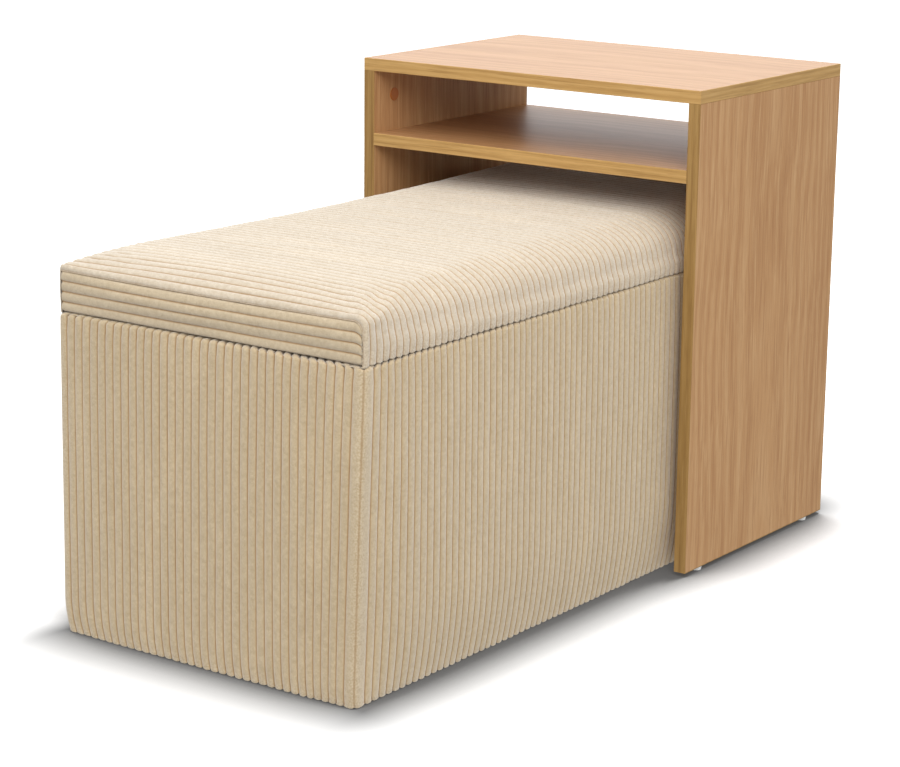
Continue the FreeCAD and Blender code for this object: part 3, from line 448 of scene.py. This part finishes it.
def inflate_lid():
    """Blows the blank up as cloth over soft foam and gives each of its points and how far it moved."""
    blank = lid_blank()
    bpy.context.collection.objects.link(blank)
    remesh = blank.modifiers.new("remesh", "REMESH")
    remesh.mode = "VOXEL"
    remesh.voxel_size = VOXEL
    remeshed = blank.evaluated_get(bpy.context.evaluated_depsgraph_get())
    cushion = bpy.data.objects.new("cushion", bpy.data.meshes.new_from_object(remeshed))
    bpy.context.collection.objects.link(cushion)
    before = evaluated_points(cushion)
    stapled = cushion.vertex_groups.new(name="stapled")
    held = np.clip(1 - (before[:, 2] - LID_LOW - STAPLED_HEIGHT) / STAPLED_FADE, 0, 1)
    post = np.hypot(HALF_WIDTH - np.abs(before[:, 0]), HALF_LENGTH - np.abs(before[:, 1]))
    held = np.maximum(held, np.clip(POST_HELD - post / STAPLED_FADE, 0, 1))
    for number, weight in enumerate(held):
        if weight > 0:
            stapled.add([number], float(weight), "REPLACE")
    simulation = cushion.modifiers.new("cloth", "CLOTH")
    settings = simulation.settings
    settings.vertex_group_mass = "stapled"
    settings.use_pressure = True
    settings.uniform_pressure_force = PRESSURE
    settings.effector_weights.gravity = 0
    settings.tension_stiffness = TENSION
    settings.bending_stiffness = BENDING
    simulation.point_cache.frame_start, simulation.point_cache.frame_end = 1, LAST_FRAME
    for number in range(1, LAST_FRAME + 1):
        bpy.context.scene.frame_set(number)
    moved = evaluated_points(cushion) - before
    bpy.context.scene.frame_set(1)
    for thing in (blank, cushion):
        mesh = thing.data
        bpy.data.objects.remove(thing)
        bpy.data.meshes.remove(mesh)
    length = np.maximum(np.linalg.norm(moved, axis=1, keepdims=True), 1e-9)
    return before, moved * SWELL_CAP * np.tanh(length / SWELL_CAP) / length


def swollen(base, inflated):
    """The base surface, moved as the nearest points of the inflated cushion moved, if there is one."""
    if inflated is None:
        return base
    points, moved = inflated
    tree = KDTree(len(points))
    for number, point in enumerate(points):
        tree.insert(point, number)
    tree.balance()
    flat = base.reshape(-1, 3)
    shift = np.empty_like(flat)
    for number, point in enumerate(flat):
        near = tree.find_n(point, NEIGHBOURS)
        weight = np.array([1 / (gap + NEIGHBOUR_REACH) ** 2 for _, _, gap in near])
        shift[number] = weight @ moved[[index for _, index, _ in near]] / weight.sum()
    return base + shift.reshape(base.shape)


def lid_main_sheet(inflated):
    """The lid's top with both long sides: ribs run across the top and straight down the sides."""
    grooves = grooves_between(-LID_CLOTH, LID_CLOTH, PITCH, PITCH)
    places, heights = rib_stations(grooves, LID_SEAM_HEIGHT)
    base = lid_surface(places)
    beside = np.abs(base[0, :, 0]) > HALF_WIDTH / 2
    height = np.where(beside, base[len(places) // 2, :, 2], math.inf)
    near_hem = smoothstep((LID_LOW + HEM_BAND - height) / HEM_FADE)
    in_band = np.clip(LID_SEAM_FUZZ - (LID_CLOTH - np.abs(places)) / PITCH, 0, 1)[:, None]
    on_side = smoothstep((LID_LOW + SEAM_BAND - height) / SEAM_FADE)
    fuzz = np.maximum(near_hem[None, :], in_band * on_side[None, :])
    depth = 1 + HEM_DEPTH * near_hem
    depth[:len(UNDER_HEM)] = depth[-len(UNDER_HEM):] = UNDER_DEPTH
    return ribbed_sheet("lid_corduroy", swollen(base, inflated), heights, depth=depth, fuzz=fuzz)


def lid_flap(name, sign, inflated):
    """A short end of the lid: level ribs between two corner seams, bent down into the upper corners.

    sign is -1 for the free end and 1 for the end under the table.
    """
    places, heights = rib_stations(np.linspace(LID_LOW, LID_EDGE, END_RIBS + 1))
    half = HALF_WIDTH + LID_PROUD - edge_drop(POST_TURN, POST_REACH)
    end = half - np.array(END_COLUMNS) * MM
    middle = np.linspace(-END_MIDDLE * half, END_MIDDLE * half, MIDDLE_COLUMNS)
    x = np.concatenate([-end, middle, end[::-1]])
    ends = END_SEAM_HEIGHT + (1 - END_SEAM_HEIGHT) * smoothstep((half - np.abs(x)) / END_FADE) ** 0.5
    seam_x, seam_z, _ = lid_section(np.array([0.0]))
    upper = seam_z[0] > LID_EDGE - 1.5 * RIGHT_CORNER
    seam_top = np.interp(x, seam_x[0, upper][::-1], seam_z[0, upper][::-1])
    rise = (seam_top - LID_LOW) / (LID_EDGE - LID_LOW)
    hem = HEM_FOLD * np.clip(1 - (places - LID_LOW) / HEM_FOLD, 0, 1) ** 2
    outwards = HALF_LENGTH - hem[:, None] + 0 * x[None, :]
    z = LID_LOW + (places[:, None] - LID_LOW) * rise[None, :]
    for inwards, lift in reversed(UNDER_HEM):
        outwards = np.vstack([0 * x + HALF_LENGTH - inwards * MM, outwards])
        z = np.vstack([0 * x + LID_LOW + lift * MM, z])
    heights = np.concatenate([[1] * len(UNDER_HEM), [HEM_GROOVE_HEIGHT], heights[1:]])
    tucked_x = np.concatenate([[-half - SEAM_TUCK], x, [half + SEAM_TUCK]])
    outwards = np.pad(outwards, ((0, 0), (1, 1)), mode="edge")
    outwards[:, [0, -1]] -= TUCK_DEPTH
    z = np.pad(z, ((0, 0), (1, 1)), mode="edge")
    base = np.stack([np.broadcast_to(tucked_x, z.shape), sign * outwards, z], axis=-1)
    fade = np.pad(ends, 1, mode="edge")
    return ribbed_sheet(name, swollen(base, inflated), heights, flip=sign < 0, fade=fade)


def lid_covers():
    """The lid's top with both long sides, and a list of its two short ends."""
    inflated = inflate_lid()
    top = lid_main_sheet(inflated)
    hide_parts("lid_cover", "lid_foam")
    ends = [lid_flap("lid_corduroy_front", -1, inflated), lid_flap("lid_corduroy_rear", 1, inflated)]
    for piece in (top, *ends):
        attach(piece, "lid")
    return top, ends


# ---------------------------------------------------------------- materials

GROWTH_CENTRE = (0.02, 0.31, 0.3)  # the middle of the woodgrain's growth rings
SWAY_SCALE = 4.0                   # how closely its lines wander


def new_material(name):
    material = bpy.data.materials.new(name)
    material.use_nodes = True
    tree = material.node_tree
    return material, tree, tree.nodes["Principled BSDF"]


def node(tree, kind, **inputs):
    """A new node with some of its inputs set."""
    made = tree.nodes.new(kind)
    for key, value in inputs.items():
        made.inputs[key.replace("_", " ")].default_value = value
    return made


def grain_space(tree, scale, sway=0.0, centre=(0, 0, 0)):
    """Object coordinates around a centre, stretched by a scale along each axis.

    sway is how far, in metres, the lines drawn in this space may wander.
    """
    place = tree.nodes.new("ShaderNodeTexCoord").outputs["Object"]
    if sway:
        drift = node(tree, "ShaderNodeTexNoise", Scale=SWAY_SCALE, Detail=1.0)
        tree.links.new(place, drift.inputs["Vector"])
        swayed = tree.nodes.new("ShaderNodeVectorMath")
        swayed.operation = "MULTIPLY_ADD"
        swayed.inputs[1].default_value = (sway, sway, sway)
        tree.links.new(drift.outputs["Color"], swayed.inputs[0])
        tree.links.new(place, swayed.inputs[2])
        place = swayed.outputs["Vector"]
    shift = tuple(-middle * factor for middle, factor in zip(centre, scale))
    stretch = node(tree, "ShaderNodeMapping", Location=shift, Scale=scale)
    tree.links.new(place, stretch.inputs["Vector"])
    return stretch.outputs["Vector"]


def noise_at(tree, space, scale, detail=3.0, roughness=0.5):
    texture = node(tree, "ShaderNodeTexNoise", Scale=scale, Detail=detail, Roughness=roughness)
    tree.links.new(space, texture.inputs["Vector"])
    return texture.outputs["Fac"]


def attribute(tree, name):
    made = tree.nodes.new("ShaderNodeAttribute")
    made.attribute_name = name
    return made.outputs["Fac"]


def ramp(tree, factor, stops):
    """A factor turned into a colour or a level of grey, through stops of (place, colour or level)."""
    made = tree.nodes.new("ShaderNodeValToRGB")
    band = made.color_ramp
    while len(band.elements) < len(stops):
        band.elements.new(0.5)
    for element, (place, colour) in zip(band.elements, stops):
        element.position = place
        element.color = (*colour, 1) if isinstance(colour, tuple) else (colour, colour, colour, 1)
    tree.links.new(factor, made.inputs["Fac"])
    return made.outputs["Color"]


def mix(tree, factor, first, second, mode="MIX"):
    """Two colours mixed; factor, first and second are each a number, a colour or a socket."""
    made = tree.nodes.new("ShaderNodeMix")
    made.data_type = "RGBA"
    made.blend_type = mode
    sockets = (made.inputs["Factor"], made.inputs[6], made.inputs[7])
    for socket, value in zip(sockets, (factor, first, second)):
        if isinstance(value, (int, float)):
            socket.default_value = value
        elif isinstance(value, tuple):
            socket.default_value = (*value, 1)
        else:
            tree.links.new(value, socket)
    return made.outputs[2]


def bump(tree, shader, height, strength, distance):
    made = node(tree, "ShaderNodeBump", Strength=strength, Distance=distance)
    tree.links.new(height, made.inputs["Height"])
    tree.links.new(made.outputs["Normal"], shader.inputs["Normal"])


def srgb(red, green, blue):
    """A linear colour from the usual 0 to 255 values."""
    def linear(value):
        value /= 255
        return value / 12.92 if value <= 0.04045 else ((value + 0.055) / 1.055) ** 2.4
    return linear(red), linear(green), linear(blue)


def corduroy_material(name, shadow, light):
    """Cream jumbo corduroy: soft uneven pile on the ribs, painted golden-brown shade in the grooves."""
    material, tree, shader = new_material(name)
    even = grain_space(tree, (1, 1, 1))
    pile = noise_at(tree, even, 800, detail=5, roughness=0.7)
    clumps = noise_at(tree, even, 190, detail=4, roughness=0.65)
    rib = ramp(tree, clumps, [(0.3, shadow), (0.7, light)])
    shaded = ramp(tree, attribute(tree, "nap"), [(0.0, 0.93), (1.0, 1.0)])
    rib = mix(tree, 1.0, rib, shaded, "MULTIPLY")
    fine = ramp(tree, pile, [(0.34, 0.72), (0.66, 1.0)])
    rib = mix(tree, 0.6, rib, fine, "MULTIPLY")
    speckle = ramp(tree, noise_at(tree, even, 520, detail=2, roughness=0.6),
                   [(0.35, srgb(172, 146, 108)), (0.62, srgb(226, 211, 185))])
    rough = mix(tree, 0.4, rib, speckle)
    rib = mix(tree, attribute(tree, "fuzz"), rib, rough)
    # painted groove shade: the colour darkens to golden brown towards each groove's bottom and where
    # ribs sink at seams
    depth = ramp(tree, attribute(tree, "groove"), [(0.4, 0.0), (0.92, 1.0)])
    colour = mix(tree, depth, rib, srgb(165, 127, 82))
    tree.links.new(colour, shader.inputs["Base Color"])
    shader.inputs["Roughness"].default_value = 0.95
    shader.inputs["Specular IOR Level"].default_value = 0.15
    shader.inputs["Sheen Weight"].default_value = 1.0
    shader.inputs["Sheen Roughness"].default_value = 0.5
    shader.inputs["Sheen Tint"].default_value = (1.0, 0.96, 0.9, 1)
    bump(tree, shader, mix(tree, 0.5, pile, clumps), 0.75, 1.4 * MM)
    return material


def laminate(name, grain_axes, light, dark, streak, accent, sway=0.018):
    """Woodgrain laminate with its lines along the given axes: growth rings, fine streaks, short pores.

    Lighter streaks take the accent colour, and darker ones and the pores the streak colour.
    """
    material, tree, shader = new_material(name)

    def along_grain(across, along):
        scale = [across] * 3
        for axis in grain_axes:
            scale[axis] = along
        return grain_space(tree, tuple(scale), sway, GROWTH_CENTRE)

    broad = noise_at(tree, along_grain(14, 1.5), 1.6, detail=3, roughness=0.5)
    rings = node(tree, "ShaderNodeTexWave", Scale=40.0, Distortion=6.0, Detail=2.0)
    rings.wave_type, rings.rings_direction = "RINGS", "SPHERICAL"
    rings.inputs["Detail Scale"].default_value = 0.12
    tree.links.new(along_grain(1, 0.07), rings.inputs["Vector"])
    streaks = noise_at(tree, along_grain(150, 4.4), 2.0, detail=4, roughness=0.65)
    pores = noise_at(tree, along_grain(330, 16), 2.2, detail=2, roughness=0.5)
    colour = ramp(tree, broad, [(0.35, dark), (0.65, light)])
    colour = mix(tree, ramp(tree, rings.outputs["Fac"], [(0.66, 0.0), (0.97, 0.34)]), colour, accent)
    colour = mix(tree, ramp(tree, rings.outputs["Fac"], [(0.03, 0.22), (0.25, 0.0)]), colour, streak)
    colour = mix(tree, ramp(tree, streaks, [(0.3, 0.6), (0.47, 0.0)]), colour, streak)
    colour = mix(tree, ramp(tree, streaks, [(0.53, 0.0), (0.68, 0.75)]), colour, accent)
    colour = mix(tree, ramp(tree, pores, [(0.54, 0.0), (0.72, 0.35)]), colour, streak)
    tree.links.new(colour, shader.inputs["Base Color"])
    shader.inputs["Roughness"].default_value = 0.42
    shader.inputs["Specular IOR Level"].default_value = 0.2
    bump(tree, shader, pores, 0.1, 0.1 * MM)
    return material


def plain(name, colour, roughness, metallic=0.0, speck=60.0, contrast=0.08, relief=0.05):
    """A moulded, foamed or plated material with a faint uneven tone."""
    material, tree, shader = new_material(name)
    even = grain_space(tree, (1, 1, 1))
    cloud = noise_at(tree, even, speck, detail=4, roughness=0.6)
    low = tuple(channel * (1 - contrast) for channel in colour)
    tree.links.new(ramp(tree, cloud, [(0.3, low), (0.7, colour)]), shader.inputs["Base Color"])
    shader.inputs["Roughness"].default_value = roughness
    shader.inputs["Metallic"].default_value = metallic
    bump(tree, shader, noise_at(tree, even, speck * 12, detail=2), relief, 0.2 * MM)
    return material


def dress(material, *names):
    """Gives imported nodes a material."""
    for name in names:
        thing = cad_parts[name]
        thing.data.materials.clear()
        thing.data.materials.append(material)


def cad_materials():
    """Materials for the boards, bands, fittings and linings that are shown as packed."""
    # the level boards take a darker copy of the uprights' laminate: painted shade against the overhead
    # light they catch
    level_wood = (srgb(187, 142, 97), srgb(178, 132, 88), srgb(156, 108, 68), srgb(199, 154, 112))
    dress(laminate("top_laminate_painted_shade", (0,), *level_wood), "table_top", "table_shelf")
    upright_wood = (srgb(197, 152, 105), srgb(187, 141, 95), srgb(164, 116, 74), srgb(210, 170, 124))
    dress(laminate("panel_laminate", (2,), *upright_wood), "table_left_panel", "table_right_panel")
    # the level boards' edging is a lighter copy of one edging colour: painted light
    level_band = (srgb(198, 158, 98), srgb(186, 146, 88), srgb(150, 113, 64), srgb(208, 170, 112))
    dress(laminate("top_band_painted_light", (0, 1), *level_band, sway=0.004),
          "table_top_edging", "table_shelf_edging")
    # and the uprights' edging a darker copy of it: painted shade
    upright_band = (srgb(164, 128, 76), srgb(152, 117, 66), srgb(120, 88, 46), srgb(176, 141, 88))
    dress(laminate("panel_band_painted_shade", (2,), *upright_band, sway=0.004),
          "table_left_edging", "table_right_edging")
    dress(plain("cam_zinc", (0.6, 0.6, 0.6), 0.35, metallic=1.0), "cam_locks")
    steel = plain("zinc_plated_steel", (0.62, 0.62, 0.6), 0.3, metallic=1.0)
    dress(steel, "cam_bolts", "hinge_bench_leaves", "hinge_lid_leaves", "hinge_pins",
          "hinge_bench_screws", "hinge_lid_screws")
    dress(plain("cap_plastic", srgb(178, 106, 46), 0.4), "cam_caps")
    beech = (srgb(222, 188, 146), srgb(210, 174, 130), srgb(176, 134, 92), srgb(228, 196, 156))
    dress(laminate("beech", (2,), *beech), "wood_dowels")
    dress(plain("white_plastic", (0.85, 0.85, 0.83), 0.35), "table_glides", "bench_glides")
    board = plain("particle_board", srgb(190, 160, 120), 0.8, speck=300, contrast=0.35, relief=0.2)
    dress(board, "bench_left_wall", "bench_right_wall", "bench_front_wall", "bench_rear_wall",
          "bench_floor", "lid_board")
    pine = (srgb(226, 196, 150), srgb(214, 180, 132), srgb(186, 142, 92), srgb(232, 204, 160))
    dress(laminate("softwood", (1,), *pine),
          "bench_corner_posts", "bench_rim_rails", "bench_floor_bearers")
    lining = plain("black_lining", (0.03, 0.03, 0.032), 0.9, speck=900, contrast=0.3, relief=0.3)
    dress(lining, "bench_lining", "lid_lining", "bench_dust_cover")
    dress(plain("bumper_rubber", (0.04, 0.04, 0.04), 0.7), "lid_bumpers")


# ---------------------------------------------------------------- floor, light and camera

FLOOR_SIZE = 200
FLOOR_LEVEL = -0.2 * MM
SHADOW_REACH = 0.125                   # how far the painted contact shadow spreads from anything on the floor
BENCH_SHADOW_REACH = 0.145             # and how far the bench's own painted shadow does
SHADOW_RIGHT, SHADOW_LEFT = 1.39, 2.2  # how much narrower it is beside the bench than at its ends

SOFTBOXES = (                          # name, place, target, watts, width
    ("front_softbox", (2.2, -2.6, 2.8), (0, 0, 0.3), 95, 2.4),
    ("rear_softbox", (-1.8, 2.8, 1.5), (0, 0, 0.45), 24, 2.4),
    ("overhead", (0, -0.2, 3.2), (0, -0.2, 0), 36, 2.6),
)
ROOM_BELOW, ROOM_ABOVE = 0.42, 0.78    # how bright the room is below and above

EYE = (1.8233, -2.5568, 1.0101)
YAW, PITCH_DOWN, ROLL = math.radians(35.77), math.radians(13.92), math.radians(0.63)
LENS, SENSOR = 105.64, 36              # in millimetres
FARTHEST = 100                         # how far the camera sees, in metres


def stage():
    """A white floor with a painted shadow: its colour and glow darken softly round the bench and close
    to anything else on it.
    """
    bpy.ops.mesh.primitive_plane_add(size=FLOOR_SIZE, location=(0, 0, FLOOR_LEVEL))
    floor = bpy.context.object
    floor.name = "floor"
    floor.visible_diffuse = False
    floor.visible_glossy = False
    material, tree, shader = new_material("pale_floor_painted_shadow")
    # painted contact shadow: the floor's colour and glow darken where the occlusion finds anything near
    contact = node(tree, "ShaderNodeAmbientOcclusion", Distance=SHADOW_REACH)
    contact.samples = 32
    near = ramp(tree, contact.outputs["AO"], [(0.5, 0.1), (0.99, 1.0)])
    place = tree.nodes.new("ShaderNodeTexCoord").outputs["Object"]
    sides = tree.nodes.new("ShaderNodeVectorMath")
    sides.operation = "MAXIMUM"
    for socket, factors in zip(sides.inputs, ((SHADOW_RIGHT, 1, 0), (-SHADOW_LEFT, -1, 0))):
        outside = tree.nodes.new("ShaderNodeVectorMath")
        outside.operation = "MULTIPLY_ADD"
        tree.links.new(place, outside.inputs[0])
        outside.inputs[1].default_value = factors
        outside.inputs[2].default_value = (-abs(factors[0]) * HALF_WIDTH, -HALF_LENGTH, 0)
        tree.links.new(outside.outputs["Vector"], socket)
    beyond = sides
    for operation in ("MAXIMUM", "LENGTH"):
        made = tree.nodes.new("ShaderNodeVectorMath")
        made.operation = operation
        tree.links.new(beyond.outputs["Vector"], made.inputs[0])
        beyond = made
    # painted shadow round the bench's footprint, narrower beside it than at its ends
    reach = node(tree, "ShaderNodeMapRange", From_Min=0.0, From_Max=BENCH_SHADOW_REACH)
    tree.links.new(beyond.outputs["Value"], reach.inputs["Value"])
    under = ramp(tree, reach.outputs["Result"], [(0.0, 0.15), (0.6, 0.68), (1.0, 1.0)])
    shade = mix(tree, 1.0, near, under, "DARKEN")
    tree.links.new(shade, shader.inputs["Base Color"])
    tree.links.new(shade, shader.inputs["Emission Color"])
    shader.inputs["Roughness"].default_value = 0.9
    shader.inputs["Specular IOR Level"].default_value = 0.0
    shader.inputs["Emission Strength"].default_value = 0.5
    floor.data.materials.append(material)


def area_light(name, place, target, power, width):
    data = bpy.data.lights.new(name, "AREA")
    data.energy = power
    data.size = width
    light = bpy.data.objects.new(name, data)
    light.location = place
    light.rotation_euler = (Vector(target) - Vector(place)).to_track_quat("-Z", "Y").to_euler()
    bpy.context.collection.objects.link(light)


def lights():
    """A room that is brighter above than below, and the softboxes."""
    world = bpy.data.worlds.new("white_room")
    bpy.context.scene.world = world
    world.use_nodes = True
    tree = world.node_tree
    direction = tree.nodes.new("ShaderNodeTexCoord")
    split = tree.nodes.new("ShaderNodeSeparateXYZ")
    tree.links.new(direction.outputs["Generated"], split.inputs["Vector"])
    level = node(tree, "ShaderNodeMapRange", From_Min=-0.5, From_Max=0.4)
    tree.links.new(split.outputs["Z"], level.inputs["Value"])
    room = ramp(tree, level.outputs["Result"], [(0.0, ROOM_BELOW), (1.0, ROOM_ABOVE)])
    tree.links.new(room, tree.nodes["Background"].inputs["Color"])
    for softbox in SOFTBOXES:
        area_light(*softbox)
    bpy.context.scene.view_settings.view_transform = "Standard"


def camera():
    """The camera stands to the right of the free end and looks down along the bench."""
    level = math.cos(PITCH_DOWN)
    forward = Vector((-math.sin(YAW) * level, math.cos(YAW) * level, -math.sin(PITCH_DOWN)))
    level_right = forward.cross(Vector((0, 0, 1))).normalized()
    level_up = level_right.cross(forward)
    right = math.cos(ROLL) * level_right + math.sin(ROLL) * level_up
    up = math.cos(ROLL) * level_up - math.sin(ROLL) * level_right
    data = bpy.data.cameras.new("camera")
    data.lens = LENS
    data.sensor_width = SENSOR
    data.clip_end = FARTHEST
    eye = bpy.data.objects.new("camera", data)
    eye.matrix_world = Matrix((
        (right.x, up.x, -forward.x, EYE[0]),
        (right.y, up.y, -forward.y, EYE[1]),
        (right.z, up.z, -forward.z, EYE[2]),
        (0, 0, 0, 1)))
    bpy.context.collection.objects.link(eye)
    bpy.context.scene.camera = eye


bench_cloth = bench_panels()
lid_top, lid_ends = lid_covers()
# the lid's top and its short ends take lighter copies of the bench's corduroy: painted light, lightest
# on the top
for name, shadow, light, pieces in (
        ("cream_corduroy", srgb(197, 174, 137), srgb(217, 196, 160), bench_cloth),
        ("cream_corduroy_painted_light_top", srgb(202, 184, 157), srgb(222, 208, 187), [lid_top]),
        ("cream_corduroy_painted_light_ends", srgb(199, 178, 144), srgb(218, 199, 167), lid_ends)):
    cloth = corduroy_material(name, shadow, light)
    for piece in pieces:
        piece.data.materials.append(cloth)
cad_materials()
stage()
lights()
camera()
